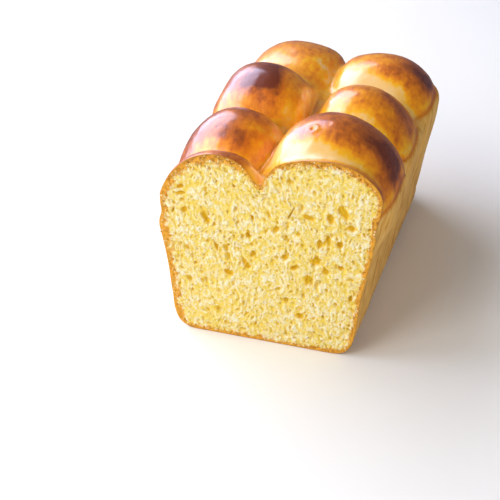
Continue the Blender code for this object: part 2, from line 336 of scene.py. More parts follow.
# How the crumb is coloured: the patterns' strengths, and how strongly each size of hole shows its golden
# colour, which is partly painted shade.
CRUMB_PATCH_SHIFT = 1.3
CRUMB_THREAD_SHIFT = 1.5
CREAM_LEVELS = (0.16, 1.12)
MIDDLE_PORE_SHADE = 0.85
SMALL_PORE_SHADE = 0.65
FINE_PORE_SHADE = 0.62
PORE_LEVELS = (0.05, 0.80)
# The toasted rim: how ragged it is, where it starts and is whole, and its unbroken line at the crust.
RIM_RAG_SHIFT = 2.0
# Raised fibres keep the paler crumb into the rim: partly painted highlight.
RIM_FIBRE_GAP = 0.22
RIM_LINE = (0.80, 0.92)
RIM_RISE = (0.12, 0.52)
RIM_START = (0.0, 0.12)
# The rim's dark parts: painted shade in its holes, the band nearest to the crust, and scattered spots.
PIT_SHARE = 0.7
PIT_BAND = (0.55, 1.0)
PIT_LEVELS = (0.35, 1.0)
CHAR_LEVELS = (0.42, 0.62)
CHAR_SHADE = 0.75
# How rough the crumb is, what its fibres add to that, and the depth of its grain.
CRUMB_ROUGHNESS = 0.72
FIBRE_ROUGHNESS = 0.1
CRUMB_BUMP = 0.00030

# Loose bits on the cut: how many to a square metre, their sizes, how flat they are for their width, the
# band that they lie in, measured from the crust, and a seed.
LOOSE_BITS = {
    "loose_crumbs": {"Bits Per Area": 90000.0, "Smallest": 0.0003, "Largest": 0.0012, "Flatness": 0.5,
                     "Near Crust": 0.0004, "Far From Crust": 0.008, "Seed": 11},
    "crust_flakes": {"Bits Per Area": 160000.0, "Smallest": 0.0004, "Largest": 0.0013, "Flatness": 0.35,
                     "Near Crust": 0.0001, "Far From Crust": 0.0022, "Seed": 7},
}
# How wide they are for their length, the push that makes them lumpy, how low they lie at most, how softly
# their band starts, and the largest turn about each axis. They lie only where the crumb faces the front.
BIT_NARROWNESS = 0.75
BIT_LUMPS = (1.6, 1.0, 0.9)
BIT_LOWEST = 0.0012
BIT_BAND_EDGE = 0.0002
BIT_TURN = 3.1
FRONT_FACING = -0.3
# Their uneven colour, gloss and skin.
BIT_PATCHES = (0.0015, 2.0)
BIT_GLOSS_SIZE = 0.0008
BIT_ROUGHNESS = (0.6, 0.8)
BIT_GRAIN = (0.0003, 2.0)
BIT_BUMP = 0.00005

# The lights: where each one stands, what it faces, its width and height, and its colour.
LIGHTS = {
    "window": ((-1.00, 0.20, 0.72), (0.0, 0.0, 0.08), (1.9, 1.2), (0.86, 0.88, 1.0)),
    "window_sheen": ((-1.00, 0.25, 0.75), (0.0, 0.0, 0.08), (2.1, 1.5), (0.66, 0.70, 1.0)),
    "front_fill": ((-0.55, -0.95, 0.80), (0.0, -0.05, 0.05), (0.6, 0.6), (1.0, 0.97, 0.92)),
    "side_fill": ((1.1, -0.6, 0.5), (0.0, 0.0, 0.05), (0.7, 0.7), (1.0, 0.96, 0.90)),
}
# The room is dimmer away from the window, and dimmer again where shiny crust mirrors it.
ROOM_SIDES = (0.7, -0.7)
ROOM_FAR_SHARE = 0.35
MIRRORED_SHARE = 0.7

# The camera that took in the loaf, found from the outlines: degrees, metres and millimetres of lens.
CAMERA_AZIMUTH = 16.98
CAMERA_ELEVATION = 32.99
CAMERA_DISTANCE = 0.6200
CAMERA_TARGET = (-0.0181, -0.0698, 0.0368)
CAMERA_LENS = 81.6
CAMERA_SENSOR = 36.0
# The table: a broad disc, a little darker in patches.
FLOOR_RADIUS = 8.0
FLOOR_SEGMENTS = 96
FLOOR_DARKEST = 0.97
FLOOR_PATCHES = (0.15, 2.0)
FLOOR_GLOSS_SIZE = 0.02
FLOOR_ROUGHNESS = (0.7, 0.8)
FLOOR_GRAIN_SIZE = 0.002
FLOOR_BUMP = 0.00005


def smooth_low(first, second, width):
    """The lower of two distances, with the join rounded over the width."""
    share = np.clip(0.5 + 0.5 * (second - first) / width, 0.0, 1.0)
    return second + (first - second) * share - width * share * (1.0 - share)


def smooth_high(first, second, width):
    """The higher of two distances, with the join rounded over the width."""
    return -smooth_low(-first, -second, width)


def smooth_share(value, low, high):
    """Rises smoothly from 0 at low to 1 at high."""
    share = np.clip((value - low) / (high - low), 0.0, 1.0)
    return share * share * (3.0 - 2.0 * share)


def place_on_ball(x, s, ball):
    """Where a point lies in a ball's plan, across it and along it, as shares of its half sizes."""
    centre_x, centre_s, half_width, half_length, _, _, turn, _ = ball
    cosine, sine = math.cos(math.radians(turn)), math.sin(math.radians(turn))
    off_x, off_s = x - centre_x, s - centre_s
    return (off_x * cosine + off_s * sine) / half_width, (off_s * cosine - off_x * sine) / half_length


def ball_distance(x, s, z, ball):
    """Distance to one dough ball: squarish in plan at its shoulder, round at its top, tucked in below."""
    centre_x, centre_s, _, _, shoulder, top, _, fullness = ball
    off_x, off_s, off_z = x - centre_x, s - centre_s, z - shoulder
    across, along = (np.abs(share) + 1e-9 for share in place_on_ball(x, s, ball))
    height = np.abs(off_z) / np.where(off_z > 0.0, top - shoulder, BALL_DEPTH)
    corners = PLAN_CORNERS_LOW + (PLAN_CORNERS_HIGH - PLAN_CORNERS_LOW) * np.clip(height, 0.0, 1.0)
    plan = (across**corners + along**corners) ** (1.0 / corners)
    size = np.sqrt(plan**2 + height ** np.where(off_z > 0.0, fullness, 2.0))
    reach = np.sqrt(off_x**2 + off_s**2 + off_z**2)
    return reach * (1.0 - 1.0 / np.maximum(size, 1e-6))


def lid_height(x, s):
    """How high the dough in the tin stands below the balls, with a ridge that floors the long crease."""
    from_middle = np.abs(x - TIN_CENTRE_X - TIN_LEAN * s)
    rise = TIN_CORE_RISE * (1.0 - np.clip(from_middle / TIN_FLOOR_HALF_WIDTH, 0.0, 1.0) ** 2)
    ridge = np.interp(s, RIDGE_AT, RIDGE_HEIGHTS) * np.exp(-(((x - RIDGE_X) / RIDGE_WIDTH) ** 2))
    return TIN_RIM_HEIGHT + TIN_RIM_TILT * x + rise + ridge


def tin_wall_distance(x, s, z):
    """Distance to the tin's four sloping walls with their rounded corners."""
    seam = sum(np.exp(-(((s - at) / SEAM_WIDTH) ** 2)) for at in SEAMS_AT)
    half_width = TIN_FLOOR_HALF_WIDTH + TIN_WALL_SLOPE * z
    half_width = half_width - SEAM_DEPTH * seam * np.clip(z / TIN_RIM_HEIGHT, 0.0, 1.0)
    half_length = 0.5 * (TIN_BACK - TIN_FRONT) - TIN_END_SLOPE * (TIN_RIM_HEIGHT - z)
    from_middle = np.abs(x - TIN_CENTRE_X - TIN_LEAN * s)
    out_x = from_middle - half_width + TIN_CORNER_RADIUS
    out_s = np.abs(s - 0.5 * (TIN_FRONT + TIN_BACK)) - half_length + TIN_CORNER_RADIUS
    outside = np.hypot(np.maximum(out_x, 0.0), np.maximum(out_s, 0.0))
    return outside + np.minimum(np.maximum(out_x, out_s), 0.0) - TIN_CORNER_RADIUS


def tin_distance(x, s, z):
    """Distance to the dough that filled the tin: its walls, a rounded base and a lid below the balls."""
    body = smooth_high(tin_wall_distance(x, s, z), -z, BASE_ROUNDING)
    return smooth_high(body, z - lid_height(x, s), RIM_BLEND)


def column_distance(x, s, z, side):
    """Distance to one column of dough balls, each run into the next."""
    column = [ball for name, ball in BALLS.items() if name.startswith(side)]
    distance = ball_distance(x, s, z, column[0])
    for ball, blend in zip(column[1:], ROW_BLENDS[side]):
        distance = smooth_low(distance, ball_distance(x, s, z, ball), blend)
    return distance


def dough_distance(x, s, z):
    """Distance to the whole baked loaf, before the knife, with the long crease pinched in."""
    left = column_distance(x, s, z, "left")
    right = column_distance(x, s, z, "right")
    pinch = COLUMN_PINCH * np.exp(-(((left - right) / PINCH_WIDTH) ** 2))
    balls = smooth_low(left, right, COLUMN_BLEND) + pinch
    return smooth_low(balls, tin_distance(x, s, z), TIN_BLEND)


def cast_shell(shell, centre, stretch, distance):
    """Adds a sphere and moves each vertex out along its ray to a surface, found by halving."""
    sphere = bmesh.ops.create_uvsphere(shell, u_segments=SHELL_TURNS, v_segments=SHELL_RINGS, radius=1.0)
    sphere = sphere["verts"]
    directions = np.array([vertex.co for vertex in sphere]) * stretch
    directions = directions / np.linalg.norm(directions, axis=1)[:, None]
    low, high = np.zeros(len(sphere)), np.full(len(sphere), RAY_REACH)
    for _ in range(RAY_STEPS):
        middle = 0.5 * (low + high)
        inside = distance(*(centre + directions * middle[:, None]).T) < 0.0
        low, high = np.where(inside, middle, low), np.where(inside, high, middle)
    for vertex, point in zip(sphere, centre + directions * high[:, None]):
        vertex.co = point


def settle_on_crust(points):
    """Draws points near the dough's surface onto it, down its slope."""
    for _ in range(SETTLE_STEPS):
        here = dough_distance(*points.T)
        probes = [dough_distance(*(points + step).T) for step in np.eye(3) * SETTLE_PROBE]
        slope = (np.stack(probes, axis=1) - here[:, None]) / SETTLE_PROBE
        move = -SETTLE_SHARE * here / np.maximum(np.sum(slope**2, axis=1), SETTLE_LEAST_SLOPE)
        points = points + slope * np.clip(move, -SETTLE_REACH, SETTLE_REACH)[:, None]
    return points


def get_points(mesh):
    """A mesh's vertices as rows of numbers."""
    points = np.empty(len(mesh.vertices) * 3, np.float32)
    mesh.vertices.foreach_get("co", points)
    return points.reshape(-1, 3).astype(float)


def set_points(mesh, points):
    mesh.vertices.foreach_set("co", points.astype(np.float32).ravel())
    mesh.update()


def get_normals(mesh):
    normals = np.empty(len(mesh.vertices) * 3, np.float32)
    mesh.vertex_normals.foreach_get("vector", normals)
    return normals.reshape(-1, 3).astype(float)


def store(mesh, name, values):
    """Keeps one number for each vertex under a name, for node trees and materials to read."""
    attribute = mesh.attributes.new(name, "FLOAT", "POINT")
    attribute.data.foreach_set("value", values.astype(np.float32))


def new_object(name, mesh):
    made = bpy.data.objects.new(name, mesh)
    bpy.context.scene.collection.objects.link(made)
    return made


def apply_modifiers(piece):
    """Makes what the modifiers show the piece's own mesh, and takes them off."""
    shown = piece.evaluated_get(bpy.context.evaluated_depsgraph_get())
    mesh = bpy.data.meshes.new_from_object(shown)
    old = piece.data
    piece.modifiers.clear()
    piece.data = mesh
    bpy.data.meshes.remove(old)
    mesh.name = piece.name


class Graph:
    """Adds nodes to a node tree and joins them, for geometry and for materials alike."""

    def __init__(self, tree):
        self.tree = tree

    def add(self, kind, inputs=(), **settings):
        """A node of one kind, each input set to a number or joined to another node's output."""
        node = self.tree.nodes.new(kind)
        for name, value in settings.items():
            setattr(node, name, value)
        for key, value in dict(inputs).items():
            if isinstance(value, bpy.types.NodeSocket):
                self.tree.links.new(value, node.inputs[key])
            else:
                node.inputs[key].default_value = value
        return node

    def math(self, operation, *values):
        return self.add("ShaderNodeMath", enumerate(values), operation=operation).outputs[0]

    def vector(self, operation, *values):
        return self.add("ShaderNodeVectorMath", enumerate(values), operation=operation).outputs[0]

    def plus(self, first, second):
        return self.math("ADD", first, second)

    def minus(self, first, second):
        return self.math("SUBTRACT", first, second)

    def over(self, first, second):
        return self.math("DIVIDE", first, second)

    def higher(self, first, second):
        return self.math("MAXIMUM", first, second)

    def times(self, first, *others):
        """The product of two or more numbers."""
        for other in others:
            first = self.math("MULTIPLY", first, other)
        return first

    def parts(self, vector):
        """A vector's x, y and z."""
        return self.add("ShaderNodeSeparateXYZ", {0: vector}).outputs

    def scaled(self, vector, factor):
        return self.add("ShaderNodeVectorMath", {0: vector, "Scale": factor}, operation="SCALE").outputs[0]

    def share(self, value, low, high, smooth=True):
        """Rises from 0 at low to 1 at high."""
        kind = "SMOOTHSTEP" if smooth else "LINEAR"
        inputs = {"Value": value, "From Min": low, "From Max": high}
        return self.add("ShaderNodeMapRange", inputs, interpolation_type=kind).outputs[0]

    def between(self, value, low, high):
        """Turns 0 to 1 into low to high."""
        return self.add("ShaderNodeMapRange", {"Value": value, "To Min": low, "To Max": high}).outputs[0]

    def noise(self, vector, size, detail=2.0, roughness=0.5):
        """Soft noise round 0.5 with patches of about the size."""
        scale = self.over(1.0, size)
        inputs = {"Vector": vector, "Scale": scale, "Detail": detail, "Roughness": roughness}
        return self.add("ShaderNodeTexNoise", inputs).outputs[0]

    def swing(self, vector, size, detail=2.0, roughness=0.5):
        """Soft noise round 0 with patches of about the size."""
        return self.minus(self.noise(vector, size, detail, roughness), 0.5)

    def push(self, vector, scale, detail, reach):
        """A push any way by noise, up to about half the reach. Without a vector it follows the position."""
        inputs = {"Vector": vector, "Scale": scale, "Detail": detail}
        inputs = {name: value for name, value in inputs.items() if value is not None}
        way = self.add("ShaderNodeTexNoise", inputs).outputs["Color"]
        return self.scaled(self.vector("SUBTRACT", way, (0.5, 0.5, 0.5)), reach)

    def cells(self, vector, size):
        """Scattered cells: the distance to each one's middle in cell sizes, and two random numbers."""
        scale = self.over(1.0, size)
        node = self.add("ShaderNodeTexVoronoi", {"Vector": vector, "Scale": scale, "Randomness": 1.0})
        chance, other_chance, _ = self.parts(node.outputs["Color"])
        return node.outputs["Distance"], chance, other_chance

    def mix(self, share, first, second):
        """A colour between two, each the output of a node or three numbers."""
        ends = [end if isinstance(end, bpy.types.NodeSocket) else (*end, 1.0) for end in (first, second)]
        node = self.add("ShaderNodeMix", {0: share, 6: ends[0], 7: ends[1]}, data_type="RGBA")
        return node.outputs[2]

    def ramp(self, share, stops):
        """A colour read along a row of stops, each a place from 0 to 1 and a colour."""
        node = self.add("ShaderNodeValToRGB", {0: share})
        elements = node.color_ramp.elements
        while len(elements) < len(stops):
            elements.new(0.5)
        for element, (place, colour) in zip(elements, stops):
            element.position = place
            element.color = (*colour, 1.0)
        return node.outputs[0]


def new_geometry_tree(name, sizes):
    """A Geometry Nodes tree with a named input for each size, a seed and a material."""
    tree = bpy.data.node_groups.new(name, "GeometryNodeTree")
    tree.interface.new_socket("Geometry", in_out="INPUT", socket_type="NodeSocketGeometry")
    for label in sizes:
        tree.interface.new_socket(label, in_out="INPUT", socket_type="NodeSocketFloat")
    tree.interface.new_socket("Seed", in_out="INPUT", socket_type="NodeSocketInt")
    tree.interface.new_socket("Material", in_out="INPUT", socket_type="NodeSocketMaterial")
    tree.interface.new_socket("Geometry", in_out="OUTPUT", socket_type="NodeSocketGeometry")
    return tree, Graph(tree), tree.nodes.new("NodeGroupInput").outputs


def end_geometry_tree(graph, shape, material):
    """Every tree ends with its instances made real and its material set."""
    real = graph.add("GeometryNodeRealizeInstances", {0: shape}).outputs[0]
    finished = graph.add("GeometryNodeSetMaterial", {"Geometry": real, "Material": material}).outputs[0]
    graph.add("NodeGroupOutput", {0: finished})


def run_geometry_tree(piece, tree, values):
    """Puts the tree on a piece with its inputs set, and keeps the result as a plain mesh."""
    modifier = piece.modifiers.new(tree.name, "NODES")
    modifier.node_group = tree
    for item in tree.interface.items_tree:
        if item.in_out == "INPUT" and item.name in values:
            modifier[item.identifier] = values[item.name]
    apply_modifiers(piece)


def seeded_position(graph, seed):
    """Where a point is, moved far along by the seed so that each seed gives other patterns."""
    shift = graph.add("ShaderNodeCombineXYZ", {0: graph.times(seed, SEED_STEP)}).outputs[0]
    return graph.vector("ADD", graph.add("GeometryNodeInputPosition").outputs[0], shift)


def stretched(graph, vector, sizes):
    """The vector with its axes divided by three sizes."""
    return graph.vector("DIVIDE", vector, sizes)


def named(graph, name):
    """A stored number, inside a Geometry Nodes tree."""
    return graph.add("GeometryNodeInputNamedAttribute", {"Name": name}, data_type="FLOAT").outputs[0]


def keep(graph, shape, name, value):
    """Stores a number on the points under a name."""
    inputs = {"Geometry": shape, "Name": name, "Value": value}
    node = graph.add("GeometryNodeStoreNamedAttribute", inputs, data_type="FLOAT", domain="POINT")
    return node.outputs[0]


def side_streaks(graph, place):
    """The place in streaks' widths and lengths: up the loaf's sides, leaning a little."""
    turn = {"Vector": place, "Angle": STREAK_LEAN}
    leaning = graph.add("ShaderNodeVectorRotate", turn, rotation_type="X_AXIS").outputs[0]
    wandering = graph.vector("ADD", leaning, graph.push(place, *STREAK_WANDER))
    return stretched(graph, wandering, STREAK_SIZES)


def crust_relief_tree():
    """Skin wrinkles, blisters, stretch lines by the creases, and crinkles where the sides met the tin."""
    sizes = ("Wrinkle Height", "Wrinkle Size", "Blister Depth", "Blister Size", "Stretch Height",
             "Crinkle Height")
    tree, graph, given = new_geometry_tree("crust_relief", sizes)
    place = seeded_position(graph, given["Seed"])
    wall, bake, crease = named(graph, "wall"), named(graph, "bake"), named(graph, "crease")
    on_ball = graph.minus(1.0, wall)

    wrinkle = graph.swing(place, given["Wrinkle Size"], *WRINKLE_GRAIN)
    wrinkle = graph.times(wrinkle, given["Wrinkle Height"], on_ball)

    away, chance, width = graph.cells(place, given["Blister Size"])
    dimple = graph.share(graph.over(away, graph.between(width, *DIMPLE_RADII)), *DIMPLE_WALL)
    dimple = graph.times(dimple, graph.share(chance, *DIMPLE_CHANCES))
    on_brown = graph.times(graph.share(bake, *DIMPLE_BAKES), on_ball)
    dimple = graph.times(dimple, given["Blister Depth"], on_brown)

    lines = graph.swing(stretched(graph, place, STRETCH_LINE_SIZES), 1.0)
    lines = graph.times(lines, given["Stretch Height"], crease, on_ball)

    crinkle = graph.swing(side_streaks(graph, place), *CRINKLE_GRAIN)
    crinkle = graph.times(crinkle, given["Crinkle Height"], wall)

    height = graph.plus(graph.plus(wrinkle, lines), graph.minus(crinkle, dimple))
    height = graph.times(height, graph.share(graph.parts(place)[2], *TABLE_FADE))
    offset = graph.scaled(graph.add("GeometryNodeInputNormal").outputs[0], height)
    shape = keep(graph, given["Geometry"], "dimple", graph.over(dimple, given["Blister Depth"]))
    shape = graph.add("GeometryNodeSetPosition", {"Geometry": shape, "Offset": offset})
    end_geometry_tree(graph, shape.outputs[0], given["Material"])
    return tree


def pore_layer(graph, flat, kind, size, mask):
    """One kind of air holes: 0 between them and 1 at their floors, in a share of the cells."""
    shift, stretch, filled = PORE_LAYERS[kind]
    moved = graph.vector("ADD", flat, shift)
    away, chance, width = graph.cells(stretched(graph, moved, (1.0, 1.0, stretch)), size)
    hole = graph.share(graph.over(away, graph.between(width, *PORE_RADII)), *PORE_WALL)
    hole = graph.times(hole, graph.share(chance, 1.0 - filled, PORE_CHANCE_EDGE - filled))
    return graph.times(hole, graph.between(width, *PORE_FULLNESS), mask)


def crumb_pores_tree():
    """Air holes of four sizes and torn fibres, pressed into the cut face and kept as colour guides too."""
    sizes = ("Middle Hole Spacing", "Small Hole Spacing", "Fine Hole Spacing", "Large Hole Depth",
             "Middle Hole Depth", "Small Hole Depth", "Fine Hole Depth", "Fibre Height")
    tree, graph, given = new_geometry_tree("crumb_pores", sizes)
    place = seeded_position(graph, given["Seed"])
    inside = named(graph, "from_crust")
    moved = graph.vector("ADD", place, graph.push(place, *HOLE_DRIFT))
    moved = graph.vector("ADD", moved, graph.push(place, *HOLE_FRAYING))
    flat = graph.vector("MULTIPLY", moved, (1.0, 0.0, 1.0))

    start = {kind: graph.share(inside, *starts) for kind, starts in PORE_STARTS.items()}
    open_part = graph.share(graph.noise(place, *OPEN_PARTS), *OPEN_LEVELS)
    rind = graph.times(start["flattened"], graph.share(inside, *FLATTENED_ENDS))
    large = named(graph, "hole")
    middle = pore_layer(graph, flat, "middle", given["Middle Hole Spacing"],
                        graph.times(open_part, start["middle"]))
    small = pore_layer(graph, flat, "small", given["Small Hole Spacing"], start["small"])
    small = graph.higher(small, pore_layer(graph, flat, "flattened", given["Small Hole Spacing"], rind))
    fine = pore_layer(graph, flat, "fine", given["Fine Hole Spacing"], 1.0)
    fibre = graph.share(graph.noise(stretched(graph, flat, FIBRE_SIZES), *FIBRE_GRAIN), *FIBRE_LEVELS)

    depth = graph.higher(graph.times(large, given["Large Hole Depth"]),
                         graph.times(middle, given["Middle Hole Depth"]))
    depth = graph.higher(depth, graph.times(small, given["Small Hole Depth"]))
    depth = graph.plus(depth, graph.times(fine, given["Fine Hole Depth"]))
    depth = graph.plus(depth, graph.times(graph.minus(0.5, fibre), given["Fibre Height"]))
    depth = graph.times(depth, graph.share(inside, 0.0, RELIEF_START))

    pore = graph.higher(graph.times(middle, MIDDLE_PORE_SHADE), graph.times(small, SMALL_PORE_SHADE))
    shape = given["Geometry"]
    for name, value in (("pore", graph.higher(large, pore)), ("fine_pore", fine), ("fibre", fibre)):
        shape = keep(graph, shape, name, value)
    offset = graph.add("ShaderNodeCombineXYZ", {1: depth}).outputs[0]
    shape = graph.add("GeometryNodeSetPosition", {"Geometry": shape, "Offset": offset})
    end_geometry_tree(graph, shape.outputs[0], given["Material"])
    return tree


def new_material(name, **constants):
    """A material with a Principled surface, its constant values set straight on the shader."""
    material = bpy.data.materials.new(name)
    material.use_nodes = True
    surface = material.node_tree.nodes["Principled BSDF"]
    for socket, value in constants.items():
        surface.inputs[socket.replace("_", " ")].default_value = value
    return material, Graph(material.node_tree), surface


def stored(graph, name):
    """A stored number, inside a material."""
    return graph.add("ShaderNodeAttribute", attribute_name=name).outputs["Fac"]


def object_place(graph):
    return graph.add("ShaderNodeTexCoord").outputs["Object"]


def finish_surface(graph, surface, colour, roughness, height, bump):
    """Joins the colour, the gloss and the last fine relief to the shader."""
    graph.tree.links.new(colour, surface.inputs["Base Color"])
    graph.tree.links.new(roughness, surface.inputs["Roughness"])
    relief = graph.add("ShaderNodeBump", {"Height": height, "Distance": bump, "Strength": 1.0})
    graph.tree.links.new(relief.outputs[0], surface.inputs["Normal"])


def ball_skin_colour(graph, place, bake, look):
    """Cream in the creases through gold and orange to deep brown, uneven where it is half browned."""
    between = graph.times(graph.share(bake, *MOTTLE_RISE), graph.share(bake, *MOTTLE_FALL))
    flow = graph.swing(stretched(graph, place, FLOW_SIZES), *FLOW_GRAIN)
    mottled = graph.plus(bake, graph.times(graph.swing(place, *BROAD_PATCHES), BROAD_SHIFT))
    mottled = graph.plus(mottled, graph.times(graph.swing(place, *PATCHES), PATCH_SHIFT, between))
    mottled = graph.plus(mottled, graph.times(flow, FLOW_SHIFT, between))
    mottled = graph.plus(mottled, graph.times(graph.swing(place, *SPECKLES), SPECKLE_SHIFT, bake))
    mottled = graph.plus(mottled, graph.times(stored(graph, "dimple"), DIMPLE_SHIFT))
    colours = (look.crease_colour, look.gold_colour, look.orange_colour, look.brown_colour,
               look.dark_colour)
    return graph.ramp(mottled, list(zip(BAKE_STOPS, colours)))


def tin_side_colour(graph, place, look):
    """Streaks up the sides that touched the tin, browner in patches and near the base, with painted shade
    to the left where the window lights them.
    """
    x, _, z = graph.parts(place)
    streak = graph.noise(side_streaks(graph, place), *STREAK_GRAIN)
    streak = graph.plus(streak, graph.times(graph.swing(place, *SIDE_PATCHES), SIDE_PATCH_SHIFT))
    # Painted shade: the left side darker where the window lights it most.
    streak = graph.minus(streak, graph.times(graph.share(x, *LEFT_SHADE_FADE), LEFT_PAINTED_SHADE))
    streak = graph.minus(streak, graph.times(graph.share(z, *BASE_FADE), BASE_SHIFT))
    colours = (look.side_dark_colour, look.side_colour, look.side_pale_colour)
    return graph.ramp(streak, list(zip(STREAK_STOPS, colours)))


def crust_material(look):
    """Egg-washed crust: browned balls of dough above, and tan sides that lay against the tin."""
    material, graph, surface = new_material("egg_washed_crust", Specular_IOR_Level=0.08,
                                            Coat_Roughness=0.24, Coat_IOR=1.7)
    place = object_place(graph)
    bake, wall = stored(graph, "bake"), stored(graph, "wall")
    skin = ball_skin_colour(graph, place, bake, look)
    colour = graph.mix(wall, skin, tin_side_colour(graph, place, look))
    colour = graph.mix(graph.times(stored(graph, "fold"), FOLD_SHADE), colour, look.brown_colour)
    graph.tree.links.new(graph.between(wall, *WASH), surface.inputs["Coat Weight"])
    rough = graph.plus(graph.times(graph.minus(1.0, bake), PALE_ROUGHNESS), SKIN_ROUGHNESS)
    rough = graph.plus(rough, graph.times(wall, SIDE_ROUGHNESS))
    finish_surface(graph, surface, colour, rough, graph.noise(place, *SKIN_GRAIN), SKIN_BUMP)
    return material


def soft_crumb_colour(graph, place, pore, fine, fibre, look):
    """Cream and butter in soft patches and threads, cream on raised fibres partly as painted highlight,
    golden in the air holes partly as painted shade.
    """
    patches = graph.times(graph.swing(place, *CRUMB_PATCHES), CRUMB_PATCH_SHIFT)
    threads = graph.times(graph.swing(place, *CRUMB_THREADS), CRUMB_THREAD_SHIFT)
    pale = graph.plus(graph.plus(fibre, patches), threads)
    # Raised fibres take the cream: partly painted highlight.
    soft = graph.mix(graph.share(pale, *CREAM_LEVELS), look.butter_colour, look.cream_and_highlight_colour)
    # The air holes take the golden colour: partly their moist walls, partly painted shade.
    soft = graph.mix(graph.times(fine, FINE_PORE_SHADE), soft, look.hole_and_shade_colour)
    return graph.mix(graph.share(pore, *PORE_LEVELS), soft, look.hole_and_shade_colour)


def toasted_rim_colour(graph, place, pore, fine, rim, look):
    """The toasted rim, darker with painted shade in its holes, and darker nearest to the crust and in
    scattered spots.
    """
    # Painted shade in the rim's holes.
    pit = graph.higher(pore, graph.times(fine, PIT_SHARE))
    pit = graph.plus(pit, graph.times(graph.share(rim, *PIT_BAND), PIT_SHARE))
    char = graph.times(graph.share(graph.noise(place, *CHAR_SPOTS), *CHAR_LEVELS), CHAR_SHADE)
    dark = graph.times(graph.higher(graph.share(pit, *PIT_LEVELS), char), stored(graph, "rim_bake"))
    return graph.mix(dark, look.toast_colour, look.crust_line_and_shade_colour)


def crumb_material(look):
    """Buttery crumb: cream walls, paler fibres and golden air holes partly painted highlight and shade, and
    the browned rim at the crust.
    """
    material, graph, surface = new_material("brioche_crumb", Specular_IOR_Level=0.25,
                                            Subsurface_Weight=0.12, Subsurface_Scale=1.0,
                                            Subsurface_Radius=(0.0020, 0.0013, 0.0006))
    place = object_place(graph)
    pore, fine, fibre = stored(graph, "pore"), stored(graph, "fine_pore"), stored(graph, "fibre")
    rim = stored(graph, "rim")
    edge = graph.plus(rim, graph.times(graph.swing(place, *RIM_RAGS), RIM_RAG_SHIFT))
    edge = graph.minus(edge, graph.times(fibre, RIM_FIBRE_GAP))
    edge = graph.higher(edge, graph.share(rim, *RIM_LINE))
    edge = graph.times(graph.share(edge, *RIM_RISE), graph.share(rim, *RIM_START))
    soft = soft_crumb_colour(graph, place, pore, fine, fibre, look)
    colour = graph.mix(edge, soft, toasted_rim_colour(graph, place, pore, fine, rim, look))
    rough = graph.plus(graph.times(fibre, FIBRE_ROUGHNESS), CRUMB_ROUGHNESS)
    finish_surface(graph, surface, colour, rough, graph.noise(place, *CRUMB_GRAIN), CRUMB_BUMP)
    return material


def ball_bake(name, points, wander):
    """How brown one ball is: less on its front and on its side to the long crease (on the right column
    partly painted highlight), with its own spots.
    """
    top, front_paleness, inner_paleness = BAKES[name]
    across, along = place_on_ball(points[:, 0], points[:, 1], BALLS[name])
    side, _ = name.split("_")
    inner = across if side == "left" else -across
    # On the right column the pale front swings toward the window: partly painted highlight.
    front = wander - along + FRONT_SWINGS[side] * inner
    bake = top * (1.0 - front_paleness * smooth_share(front, *FRONTS[side]))
    bake = bake * (1.0 - inner_paleness * smooth_share(wander + inner, *INNERS[side]))
    for at_across, at_along, radius, strength in SPOTS.get(name, ()):
        off = np.hypot(across - at_across, along - at_along) / radius
        off = np.maximum(off + SPOT_WANDER * wander, 0.0)
        bake = bake + strength * np.exp(-(off**2))
    return bake


def fold_places(points):
    """How high each point is above the fold on the loaf's sides, and whether it lies on a side."""
    x, s, z = points.T
    fold = np.interp(s, FOLD_AT, FOLD_HEIGHTS) + TIN_RIM_TILT * (x - FOLD_SIDE)
    return z - fold, smooth_share(tin_wall_distance(x, s, z), *SIDE_FADES)


def near_crease(gap, reach):
    """1 where two distances are alike, and 0 from where the gap between them is the reach."""
    return 1.0 - smooth_share(gap, 0.0, reach)


def bake_levels(points, normals):
    """How brown each point of the crust is, how near a crease, and whether it lay against the tin."""
    away = np.stack([ball_distance(*points.T, ball) for ball in BALLS.values()])
    nearest = away.min(axis=0)
    tin = tin_distance(*points.T)
    above_fold, on_side = fold_places(points)
    wall = smooth_share(-above_fold, 0.0, WALL_EDGE) * on_side

    wander = EDGE_WANDER * np.array([noise.noise(Vector(point) / WANDER_SIZE) for point in points])
    weights = np.exp(-(away - nearest) / BALL_SOFTNESS)
    bakes = np.stack([ball_bake(name, points, wander) for name in BALLS])
    bake = (bakes * weights).sum(axis=0) / weights.sum(axis=0)

    crease = np.zeros(len(points))
    inside = 1.0 - smooth_share(np.abs(points[:, 0]), *CREASE_FADES)
    kept = OUTER_CREASES + (1.0 - OUTER_CREASES) * inside
    for column, (width, paleness) in zip((away[:4], away[4:]), ROW_CREASES.values()):
        first, second = np.sort(column, axis=0)[:2]
        on_column = first <= nearest + SAME_DISTANCE
        near = np.where(on_column, near_crease(second - first, width), 0.0)
        near = near * np.where(column.argmin(axis=0) == 0, FRONT_BALL_CREASE, 1.0)
        bake = bake * (1.0 - paleness * near * kept)
        near = np.where(on_column, near_crease(second - first, ROW_LINES_REACH), 0.0)
        crease = np.maximum(crease, near)
    column_gap = np.abs(away[:4].min(axis=0) - away[4:].min(axis=0))
    bake = bake * (1.0 - RIM_PALENESS * near_crease(tin, RIM_CREASE_WIDTH))
    bake = bake + (COLUMN_BAKE - bake) * near_crease(column_gap, COLUMN_CREASE_WIDTH)
    strip = np.exp(-(((above_fold - STRIP_RISE) / STRIP_WIDTH) ** 2)) * on_side
    bake = bake * (1.0 - STRIP_PALENESS * strip)
    bake = bake * (1.0 - STEEP_PALENESS + STEEP_PALENESS * np.clip(normals[:, 2], 0.0, 1.0))
    crease = np.maximum(crease, near_crease(column_gap, COLUMN_LINES_REACH))
    return bake, crease, wall


